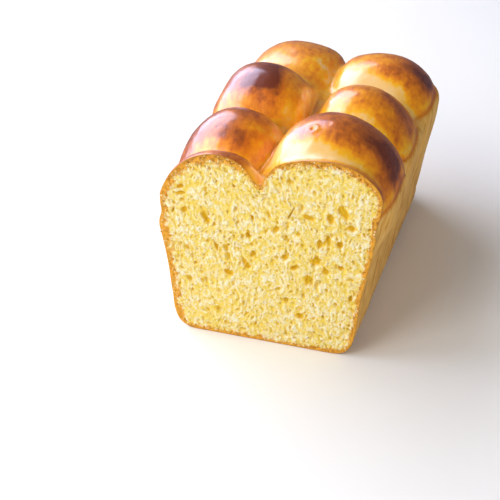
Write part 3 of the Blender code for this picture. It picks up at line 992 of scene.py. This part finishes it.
def blister_heights(points):
    """How far the burst blisters stand out or in: a ring with a sunken middle."""
    heights = np.zeros(len(points))
    for name, at_across, at_along, radius, height in BLISTERS:
        centre_x, centre_s, half_width, half_length, shoulder, *_ = BALLS[name]
        off_x = points[:, 0] - centre_x - at_across * half_width
        off_s = points[:, 1] - centre_s - at_along * half_length
        reach = np.hypot(off_x, off_s) / radius
        ring = np.exp(-(((reach - 1.0) / BLISTER_RING_WIDTH) ** 2))
        ring = ring - BLISTER_MIDDLE_DEPTH * np.exp(-((reach / BLISTER_MIDDLE_WIDTH) ** 2))
        heights = heights + np.where(points[:, 2] > shoulder, ring * height, 0.0)
    return heights


def rough_shells():
    """Every dough ball and the dough in the tin as closed shells that overlap."""
    shell = bmesh.new()
    for ball in BALLS.values():
        centre = np.array((ball[0], ball[1], ball[4]))
        cast_shell(shell, centre, (1.0, 1.0, 1.0), partial(ball_distance, ball=ball))
    middle, half_length = 0.5 * (TIN_BACK + TIN_FRONT), 0.5 * (TIN_BACK - TIN_FRONT)
    centre = np.array((TIN_CENTRE_X + TIN_LEAN * middle, middle, TIN_RIM_HEIGHT / 2))
    cast_shell(shell, centre, (TIN_FLOOR_HALF_WIDTH, half_length, TIN_RIM_HEIGHT / 2), tin_distance)
    bmesh.ops.recalc_face_normals(shell, faces=shell.faces)
    mesh = bpy.data.meshes.new("crust")
    shell.to_mesh(mesh)
    shell.free()
    return mesh


def make_even_crust():
    """The whole loaf's crust as an even mesh on the dough's surface, with the uneven rise of real dough."""
    crust = new_object("crust", rough_shells())
    for _ in range(SETTLE_ROUNDS):
        remesh = crust.modifiers.new("even_mesh", "REMESH")
        remesh.mode = "VOXEL"
        remesh.voxel_size = MESH_SIZE
        apply_modifiers(crust)
        mesh = crust.data
        points = settle_on_crust(get_points(mesh))
        set_points(mesh, points)
    normals = get_normals(mesh)
    waves = np.array([noise.noise(Vector(point) / WAVE_SIZE) for point in points])
    waves = np.where(points[:, 2] > BASE_ROUNDING, waves, 0.0) * WAVE_HEIGHT
    above_fold, on_side = fold_places(points)
    fold = np.exp(-((above_fold / FOLD_WIDTH) ** 2)) * on_side
    store(mesh, "fold", fold)
    waves = waves - FOLD_DEPTH * fold * smooth_share(points[:, 0], *FOLD_FADES) + blister_heights(points)
    for name, values in zip(("bake", "crease", "wall"), bake_levels(points, normals)):
        store(mesh, name, values)
    set_points(mesh, points + normals * waves[:, None] - np.array((MIDDLE_X, -CUT_Y, 0.0)))
    return crust


def ring_of(edges):
    """The vertices of one closed ring of edges, in order."""
    joined = {}
    for edge in edges:
        for vertex in edge.verts:
            joined.setdefault(vertex, []).append(edge.other_vert(vertex))
    start = edges[0].verts[0]
    ring, before, here = [start], start, joined[start][0]
    while here is not start:
        ring.append(here)
        first, second = joined[here]
        before, here = here, (second if first is before else first)
    return ring


def flat_places(ring):
    """Where a ring of vertices lies on the cut, x and z."""
    return np.array([(vertex.co.x, vertex.co.z) for vertex in ring])


def inward_directions(outline):
    """The way in from each point of an outline that runs anticlockwise, evened out along it."""
    ahead = np.roll(outline, -1, axis=0) - np.roll(outline, 1, axis=0)
    inward = np.stack((-ahead[:, 1], ahead[:, 0]), axis=1)
    for _ in range(NORMAL_SMOOTHING):
        inward = inward / np.linalg.norm(inward, axis=1)[:, None]
        inward = inward + 0.5 * (np.roll(inward, 1, axis=0) + np.roll(inward, -1, axis=0))
    return inward / np.linalg.norm(inward, axis=1)[:, None]


def close_behind(shell, ring, rings_behind):
    """Walls from a ring through the rings behind it, then a cap. Each ring is an inset and a depth."""
    outline = flat_places(ring)
    inward = inward_directions(outline)
    for inset, depth in rings_behind:
        places = outline + inward * inset
        behind = [shell.verts.new((x, CUT_Y + depth, z)) for x, z in places]
        for index, vertex in enumerate(ring):
            near = (vertex, ring[index - 1])
            shell.faces.new((*near, behind[index - 1], behind[index]))
        ring = behind
    cap = shell.faces.new(ring)
    cap.normal_update()
    bmesh.ops.triangulate(shell, faces=[cap])
    bmesh.ops.recalc_face_normals(shell, faces=shell.faces)


def cut_crust(crust):
    """Cuts the whole crust with the knife's plane and closes it with a rim and a recess for the crumb."""
    shell = bmesh.new()
    shell.from_mesh(crust.data)
    order = shell.verts.layers.int.new("cut_order")
    parts = shell.verts[:] + shell.edges[:] + shell.faces[:]
    bmesh.ops.bisect_plane(shell, geom=parts, dist=1e-6, plane_co=(0.0, CUT_Y, 0.0),
                           plane_no=(0.0, -1.0, 0.0), clear_outer=True)
    bmesh.ops.dissolve_degenerate(shell, dist=RIM_MERGE, edges=[e for e in shell.edges if e.is_boundary])
    ring = ring_of([edge for edge in shell.edges if edge.is_boundary])
    outline = flat_places(ring)
    area = np.sum(outline[:, 0] * np.roll(outline[:, 1], -1) - outline[:, 1] * np.roll(outline[:, 0], -1))
    if area < 0.0:
        ring.reverse()
    for index, vertex in enumerate(ring):
        vertex.co.y = CUT_Y
        vertex[order] = index + 1
    close_behind(shell, ring, ((RIM_INSET, RIM_DEPTH), (RECESS_INSET, RECESS_DEPTH)))
    shell.to_mesh(crust.data)
    shell.free()
    crust.data.shade_smooth()


def cut_outline(crust):
    """The cut's edge as the crust piece has it, anticlockwise seen from the front."""
    order = np.empty(len(crust.data.vertices), np.int32)
    crust.data.attributes["cut_order"].data.foreach_get("value", order)
    on_edge = np.flatnonzero(order)
    on_edge = on_edge[np.argsort(order[on_edge])]
    return get_points(crust.data)[on_edge][:, (0, 2)]


def edge_finder(outline, inward):
    """A search tree of closely spaced points on the outline, with each one's way in."""
    shares = np.linspace(0.0, 1.0, EDGE_STEPS, endpoint=False)[None, :, None]
    places = outline[:, None] * (1.0 - shares) + np.roll(outline, -1, axis=0)[:, None] * shares
    ways = inward[:, None] * (1.0 - shares) + np.roll(inward, -1, axis=0)[:, None] * shares
    places, ways = places.reshape(-1, 2), ways.reshape(-1, 2)
    finder = kdtree.KDTree(len(places))
    for index, (x, z) in enumerate(places):
        finder.insert((x, z, 0.0), index)
    finder.balance()
    return finder, places, ways


def is_inside(outline, x, z):
    """Whether a point is inside the outline: a level line from it crosses that an odd number of times."""
    (from_x, from_z), (to_x, to_z) = outline.T, np.roll(outline, -1, axis=0).T
    crossed = (from_z > z) != (to_z > z)
    rise = np.where(crossed, to_z - from_z, 1.0)
    return np.count_nonzero(crossed & (x < from_x + (z - from_z) / rise * (to_x - from_x))) % 2 == 1


def grid_inside(outline, finder, places, ways):
    """A grid of evenly spaced points inside the outline, each row set off from the next by half a step."""
    low, high = outline.min(axis=0), outline.max(axis=0)
    row_step = CRUMB_SPACING * math.sqrt(3.0) / 2
    inside, from_crust, way_in = [], [], []
    for row, z in enumerate(np.arange(low[1], high[1], row_step)):
        for x in np.arange(low[0] + (row % 2) * CRUMB_SPACING / 2, high[0], CRUMB_SPACING):
            _, nearest, distance = finder.find((x, z, 0.0))
            (near_x, near_z), (way_x, way_z) = places[nearest], ways[nearest]
            is_within = (x - near_x) * way_x + (z - near_z) * way_z > 0.0
            if is_within and distance > EDGE_CLEARANCE * CRUMB_SPACING:
                inside.append((x, z))
                from_crust.append(distance)
                way_in.append(ways[nearest])
    return inside, from_crust, way_in


def rim_levels(places, from_crust, way_in):
    """How far into the browned rim each point of the crumb lies, and how dark the rim is there."""
    x, z = places.T
    way_x, way_z = way_in.T
    ways = {"left": way_x, "right": -way_x, "bottom": way_z, "top": -way_z}
    shares = {side: np.clip(way, 0.0, 1.0) ** 2 for side, way in ways.items()}
    top_width = np.where(x < 0.0, RIM_WIDTHS["top_left"], RIM_WIDTHS["top_right"])
    widths = {**RIM_WIDTHS, "top": top_width}
    width = sum(share * widths[side] for side, share in shares.items())
    notch = np.exp(-(((x - NOTCH_X) / NOTCH_REACH) ** 2)) * smooth_share(z, *NOTCH_HEIGHTS)
    width = width * (1.0 - NOTCH_THINNING * notch)
    bake = sum(share * RIM_BAKES[side] for side, share in shares.items())
    return np.clip(1.0 - from_crust / np.maximum(width, 1e-6), 0.0, 1.0), bake


def hole_levels(places):
    """How deep each point of the cut lies in a large air hole: 0 outside and 1 at a hole's floor."""
    rag = np.array([noise.noise(Vector((x, 0.0, z)) / HOLE_RAG_SIZE) for x, z in places]) * HOLE_RAGGEDNESS
    levels = np.zeros(len(places))
    for x, z, width, height, lean in AIR_HOLES:
        cosine, sine = math.cos(math.radians(lean)), math.sin(math.radians(lean))
        off_x, off_z = places[:, 0] - x, places[:, 1] - z
        across, upright = off_x * cosine + off_z * sine, off_z * cosine - off_x * sine
        reach = np.hypot(across / (width / 2), upright / (height / 2))
        levels = np.maximum(levels, smooth_share(reach + rag, HOLE_EDGE, HOLE_FLOOR))
    return levels


def make_crumb_slab(outline):
    """The crumb as a closed slab: a fine grid on the cut, walls that tuck in behind the rim, and a back."""
    inward = inward_directions(outline)
    finder, places, ways = edge_finder(outline, inward)
    inside, from_crust, way_in = grid_inside(outline, finder, places, ways)
    count = len(outline)
    flat = [Vector(point) for point in (*outline.tolist(), *inside)]
    points, _, faces, *_ = geometry.delaunay_2d_cdt(flat, [], [list(range(count))], 1, 1e-7, False)
    if len(points) != len(flat):
        raise RuntimeError("the cut's outline crosses itself")
    slab = bmesh.new()
    verts = [slab.verts.new((point.x, CUT_Y, point.y)) for point in points]
    for face in faces:
        middle = sum((points[index] for index in face), Vector((0.0, 0.0))) / len(face)
        if max(face) >= count or is_inside(outline, *middle):
            slab.faces.new([verts[index] for index in face])
    close_behind(slab, verts[:count], ((CRUMB_INSET, CRUMB_FLANGE), (CRUMB_BACK_INSET, CRUMB_DEPTH)))
    mesh = bpy.data.meshes.new("crumb")
    slab.to_mesh(mesh)
    slab.free()
    total = len(mesh.vertices)
    away, way = np.zeros(total), np.zeros((total, 2))
    here = get_points(mesh)[:, (0, 2)]
    grid = slice(count, count + len(inside))
    away[grid], way[grid], way[:count] = from_crust, way_in, inward
    rim, rim_bake = rim_levels(here, away, way)
    holes = hole_levels(here) * (away > 0.0)
    for name, values in (("from_crust", away), ("rim", rim), ("rim_bake", rim_bake), ("hole", holes)):
        store(mesh, name, values)
    mesh.shade_smooth()
    return new_object("crumb", mesh)


def loose_bits_tree():
    """Small torn bits scattered over a surface in a band by the crust, each a lump turned its own way."""
    sizes = ("Bits Per Area", "Smallest", "Largest", "Flatness", "Near Crust", "Far From Crust")
    tree, graph, given = new_geometry_tree("loose_bits", sizes)
    inside, seed = named(graph, "from_crust"), given["Seed"]
    facing = graph.parts(graph.add("GeometryNodeInputNormal").outputs[0])[1]
    height = graph.parts(graph.add("GeometryNodeInputPosition").outputs[0])[2]
    front = graph.times(graph.math("LESS_THAN", facing, FRONT_FACING),
                        graph.math("GREATER_THAN", height, BIT_LOWEST))
    near, far = given["Near Crust"], given["Far From Crust"]
    band = graph.times(graph.share(inside, near, graph.plus(near, BIT_BAND_EDGE)),
                       graph.share(inside, far, graph.times(far, 0.5)))
    density = graph.times(given["Bits Per Area"], graph.times(front, band))
    scatter = graph.add("GeometryNodeDistributePointsOnFaces",
                        {"Mesh": given["Geometry"], "Density": density, "Seed": seed})
    lump = graph.add("GeometryNodeMeshIcoSphere", {"Radius": 0.5, "Subdivisions": 2}).outputs[0]
    uneven = graph.push(None, *BIT_LUMPS)
    lump = graph.add("GeometryNodeSetPosition", {"Geometry": lump, "Offset": uneven}).outputs[0]
    size = graph.add("FunctionNodeRandomValue", {2: given["Smallest"], 3: given["Largest"], "Seed": seed},
                     data_type="FLOAT").outputs[1]
    sides = {0: size, 1: graph.times(size, BIT_NARROWNESS), 2: graph.times(size, given["Flatness"])}
    scale = graph.add("ShaderNodeCombineXYZ", sides).outputs[0]
    turn = graph.add("FunctionNodeRandomValue", {0: (-BIT_TURN,) * 3, 1: (BIT_TURN,) * 3, "Seed": seed},
                     data_type="FLOAT_VECTOR").outputs[0]
    bits = graph.add("GeometryNodeInstanceOnPoints", {"Points": scatter.outputs[0], "Instance": lump,
                                                      "Rotation": turn, "Scale": scale}).outputs[0]
    end_geometry_tree(graph, bits, given["Material"])
    return tree


def scatter_bits(name, material):
    """A piece of loose bits that lie on the crumb."""
    piece = new_object(name, bpy.data.objects["crumb"].data.copy())
    run_geometry_tree(piece, loose_bits_tree(), {**LOOSE_BITS[name], "Material": material})
    put_on_loaf(piece)


def bit_material(name, first, second):
    """Torn crumb or crust, uneven from bit to bit."""
    material, graph, surface = new_material(name, Specular_IOR_Level=0.3)
    place = object_place(graph)
    colour = graph.mix(graph.noise(place, *BIT_PATCHES), first, second)
    rough = graph.between(graph.noise(place, BIT_GLOSS_SIZE), *BIT_ROUGHNESS)
    finish_surface(graph, surface, colour, rough, graph.noise(place, *BIT_GRAIN), BIT_BUMP)
    return material


def put_on_loaf(piece):
    """The piece goes with the loaf and stands for its solid."""
    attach(piece, "root")
    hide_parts("loaf")


def colour_setting(name, description, default):
    return FloatVectorProperty(name=name, description=description, default=default, subtype="COLOR",
                               min=0.0, max=1.0)


def length_setting(name, description, default):
    return FloatProperty(name=name, description=description, default=default, subtype="DISTANCE",
                         unit="LENGTH", precision=5)


def power_setting(name, description, default):
    return FloatProperty(name=name, description=description, default=default, min=0.0, unit="POWER")


class BriocheCrustLook(bpy.types.PropertyGroup):
    crease_colour: colour_setting("Creases", "Dough that stretched open late and stayed pale",
                                  (0.90, 0.62, 0.27))
    gold_colour: colour_setting("Gold", "Crust beside the creases", (0.96, 0.49, 0.010))
    orange_colour: colour_setting("Orange", "Half-browned crust", (0.92, 0.335, 0.006))
    brown_colour: colour_setting("Brown", "The browned domes", (0.66, 0.172, 0.009))
    dark_colour: colour_setting("Dark brown", "The most browned spots", (0.18, 0.036, 0.010))
    side_dark_colour: colour_setting("Tin side, dark", "Streaks where the dough lay against the tin",
                                     (0.46, 0.19, 0.028))
    side_colour: colour_setting("Tin side", "Where the dough lay against the tin", (0.76, 0.41, 0.085))
    side_pale_colour: colour_setting("Tin side, pale", "Floury streaks on the sides", (0.86, 0.56, 0.17))
    wrinkle_height: length_setting("Wrinkle height", "How deep the skin's soft wrinkles are", 0.0007)
    wrinkle_size: length_setting("Wrinkle size", "How broad the skin's soft wrinkles are", 0.007)
    blister_depth: length_setting("Blister depth", "How deep the burst blisters are", 0.0005)
    blister_size: length_setting("Blister spacing", "How far apart the burst blisters are", 0.0045)
    stretch_height: length_setting("Stretch lines", "How deep the lines beside the creases are", 0.0004)
    crinkle_height: length_setting("Side crinkles", "How deep the crinkles on the tin sides are", 0.0008)
    seed: IntProperty(name="Seed", description="Draws another skin", default=3, min=0)


class BriocheCrumbLook(bpy.types.PropertyGroup):
    # The palest crumb, taken by raised fibres: partly painted highlight.
    cream_and_highlight_colour: colour_setting("Cream", "The palest crumb", (0.985, 0.92, 0.70))
    butter_colour: colour_setting("Butter", "The yellower crumb", (0.955, 0.71, 0.115))
    # The air holes' colour: partly their moist walls, partly painted shade.
    hole_and_shade_colour: colour_setting("Air holes", "The moist walls of the air holes", (0.87, 0.54, 0.026))
    toast_colour: colour_setting("Toasted rim", "The dry golden crumb under the crust", (0.90, 0.43, 0.045))
    # The crust line and char spots, and also the painted shade in the rim's holes.
    crust_line_and_shade_colour: colour_setting("Crust line", "The crust where the knife went through", (0.38, 0.130, 0.020))
    middle_spacing: length_setting("Middle hole spacing", "Between the middle air holes", 0.0050)
    small_spacing: length_setting("Small hole spacing", "Between the small air holes", 0.0026)
    fine_spacing: length_setting("Fine hole spacing", "Between the finest air holes", 0.0014)
    large_depth: length_setting("Large hole depth", "How deep the largest air holes are", 0.0019)
    middle_depth: length_setting("Middle hole depth", "How deep the middle air holes are", 0.0020)
    small_depth: length_setting("Small hole depth", "How deep the small air holes are", 0.0010)
    fine_depth: length_setting("Fine hole depth", "How deep the finest air holes are", 0.0008)
    fibre_height: length_setting("Fibre height", "How far torn fibres stand out", 0.0012)
    seed: IntProperty(name="Seed", description="Draws another crumb", default=5, min=0)


class BriocheStudio(bpy.types.PropertyGroup):
    floor_colour: colour_setting("Floor", "The pale table", (0.93, 0.92, 0.90))
    world_colour: colour_setting("Room light", "The light from all round", (0.94, 0.95, 1.0))
    mirrored_colour: colour_setting("Mirrored room", "The room as the crust mirrors it", (0.86, 0.76, 1.0))
    world_strength: FloatProperty(name="Room strength", default=0.34, min=0.0,
                                  description="How bright the room is on its window side")
    key_power: power_setting("Window power", "The large light from the left", 31.0)
    sheen_power: power_setting("Sheen power", "What shiny crust mirrors of the window", 54.0)
    fill_power: power_setting("Fill power", "The soft light from the front", 6.5)
    side_power: power_setting("Side power", "The weak light from the right", 5.0)


class BRIOCHE_OT_crust(bpy.types.Operator):
    """Makes the egg-washed crust with its creases, blisters and crinkled tin sides"""

    bl_idname = "brioche.crust"
    bl_label = "Crust"

    def execute(self, context):
        look = context.scene.brioche_crust
        crust = make_even_crust()
        run_geometry_tree(crust, crust_relief_tree(), {
            "Wrinkle Height": look.wrinkle_height, "Wrinkle Size": look.wrinkle_size,
            "Blister Depth": look.blister_depth, "Blister Size": look.blister_size,
            "Stretch Height": look.stretch_height, "Crinkle Height": look.crinkle_height,
            "Seed": look.seed, "Material": crust_material(look),
        })
        cut_crust(crust)
        put_on_loaf(crust)
        return {"FINISHED"}


class BRIOCHE_OT_crumb(bpy.types.Operator):
    """Makes the cut face's crumb, with its air holes, torn fibres and toasted rim"""

    bl_idname = "brioche.crumb"
    bl_label = "Crumb"

    def execute(self, context):
        look = context.scene.brioche_crumb
        crumb = make_crumb_slab(cut_outline(bpy.data.objects["crust"]))
        run_geometry_tree(crumb, crumb_pores_tree(), {
            "Middle Hole Spacing": look.middle_spacing, "Small Hole Spacing": look.small_spacing,
            "Fine Hole Spacing": look.fine_spacing,
            "Large Hole Depth": look.large_depth, "Middle Hole Depth": look.middle_depth,
            "Small Hole Depth": look.small_depth, "Fine Hole Depth": look.fine_depth,
            "Fibre Height": look.fibre_height, "Seed": look.seed, "Material": crumb_material(look),
        })
        put_on_loaf(crumb)
        return {"FINISHED"}


class BRIOCHE_OT_loose_bits(bpy.types.Operator):
    """Scatters small crumbs and flakes of crust round the edge of the cut"""

    bl_idname = "brioche.loose_bits"
    bl_label = "Crumbs and flakes"

    def execute(self, context):
        look, skin = context.scene.brioche_crumb, context.scene.brioche_crust
        crumb = bit_material("loose_crumb", look.cream_and_highlight_colour, look.butter_colour)
        flake = bit_material("crust_flake", skin.orange_colour, look.crust_line_and_shade_colour)
        scatter_bits("loose_crumbs", crumb)
        scatter_bits("crust_flakes", flake)
        return {"FINISHED"}


def add_light(name, power):
    """One of the soft lights, which shiny surfaces don't mirror."""
    place, target, (width, height), colour = LIGHTS[name]
    lamp = bpy.data.lights.new(name, "AREA")
    lamp.shape = "RECTANGLE"
    lamp.energy = power
    lamp.size = width
    lamp.size_y = height
    lamp.color = colour
    light = new_object(name, lamp)
    light.location = place
    light.rotation_euler = (Vector(target) - Vector(place)).to_track_quat("-Z", "Y").to_euler()
    light.visible_glossy = False
    return light


def add_room(studio):
    """Light from all round, brightest on the window's side, and dimmer where the crust mirrors it."""
    world = bpy.data.worlds.new("studio")
    world.use_nodes = True
    background = world.node_tree.nodes["Background"]
    graph = Graph(world.node_tree)
    sideways = graph.parts(graph.add("ShaderNodeTexCoord").outputs["Generated"])[0]
    brightest = studio.world_strength
    strength = graph.between(graph.share(sideways, *ROOM_SIDES), ROOM_FAR_SHARE * brightest, brightest)
    mirrored = graph.add("ShaderNodeLightPath").outputs["Is Glossy Ray"]
    strength = graph.times(strength, graph.between(mirrored, 1.0, MIRRORED_SHARE))
    colour = graph.mix(mirrored, studio.world_colour, studio.mirrored_colour)
    graph.tree.links.new(colour, background.inputs["Color"])
    graph.tree.links.new(strength, background.inputs["Strength"])
    bpy.context.scene.world = world


def add_camera():
    """A camera at the view that the loaf is known from."""
    azimuth, elevation = math.radians(CAMERA_AZIMUTH), math.radians(CAMERA_ELEVATION)
    back = Vector((math.sin(azimuth) * math.cos(elevation), -math.cos(azimuth) * math.cos(elevation),
                   math.sin(elevation)))
    lens = bpy.data.cameras.new("camera")
    lens.lens = CAMERA_LENS
    lens.sensor_width = CAMERA_SENSOR
    lens.sensor_height = CAMERA_SENSOR
    lens.sensor_fit = "AUTO"
    camera = new_object("camera", lens)
    camera.location = Vector(CAMERA_TARGET) + back * CAMERA_DISTANCE
    camera.rotation_euler = (-back).to_track_quat("-Z", "Y").to_euler()
    bpy.context.scene.camera = camera


def add_floor(colour):
    """A broad pale table under the loaf."""
    plane = bmesh.new()
    bmesh.ops.create_circle(plane, cap_ends=True, segments=FLOOR_SEGMENTS, radius=FLOOR_RADIUS)
    mesh = bpy.data.meshes.new("floor")
    plane.to_mesh(mesh)
    plane.free()
    floor = new_object("floor", mesh)
    material, graph, surface = new_material("pale_table", Specular_IOR_Level=0.2)
    place = object_place(graph)
    darker = [FLOOR_DARKEST * value for value in colour]
    tint = graph.mix(graph.noise(place, *FLOOR_PATCHES), colour, darker)
    rough = graph.between(graph.noise(place, FLOOR_GLOSS_SIZE), *FLOOR_ROUGHNESS)
    finish_surface(graph, surface, tint, rough, graph.noise(place, FLOOR_GRAIN_SIZE), FLOOR_BUMP)
    floor.data.materials.append(material)
    floor.visible_glossy = False


class BRIOCHE_OT_studio(bpy.types.Operator):
    """Sets up the pale table, the soft lights and the camera"""

    bl_idname = "brioche.studio"
    bl_label = "Studio"

    def execute(self, context):
        studio = context.scene.brioche_studio
        add_floor(studio.floor_colour)
        add_light("window", studio.key_power)
        sheen = add_light("window_sheen", studio.sheen_power)
        sheen.visible_glossy = True
        sheen.visible_diffuse = False
        add_light("front_fill", studio.fill_power)
        add_light("side_fill", studio.side_power)
        add_room(studio)
        add_camera()
        context.scene.view_settings.view_transform = "Standard"
        return {"FINISHED"}


class VIEW3D_PT_brioche(bpy.types.Panel):
    """Lists the loaf's pieces and their settings"""

    bl_label = "Brioche Loaf"
    bl_space_type = "VIEW_3D"
    bl_region_type = "UI"
    bl_category = "Brioche"

    def draw(self, context):
        groups = (("brioche_crust", BRIOCHE_OT_crust), ("brioche_crumb", BRIOCHE_OT_crumb),
                  ("", BRIOCHE_OT_loose_bits), ("brioche_studio", BRIOCHE_OT_studio))
        for group, operator in groups:
            box = self.layout.box()
            box.operator(operator.bl_idname)
            if group:
                settings = getattr(context.scene, group)
                for name in settings.__annotations__:
                    box.prop(settings, name)


CLASSES = (BriocheCrustLook, BriocheCrumbLook, BriocheStudio, BRIOCHE_OT_crust, BRIOCHE_OT_crumb,
           BRIOCHE_OT_loose_bits, BRIOCHE_OT_studio, VIEW3D_PT_brioche)


def register():
    for each in CLASSES:
        bpy.utils.register_class(each)
    bpy.types.Scene.brioche_crust = PointerProperty(type=BriocheCrustLook)
    bpy.types.Scene.brioche_crumb = PointerProperty(type=BriocheCrumbLook)
    bpy.types.Scene.brioche_studio = PointerProperty(type=BriocheStudio)


def unregister():
    del bpy.types.Scene.brioche_studio
    del bpy.types.Scene.brioche_crumb
    del bpy.types.Scene.brioche_crust
    for each in reversed(CLASSES):
        bpy.utils.unregister_class(each)


def main():
    register()
    bpy.ops.brioche.studio()
    bpy.ops.brioche.crust()
    bpy.ops.brioche.crumb()
    bpy.ops.brioche.loose_bits()


if __name__ == "__main__":
    main()
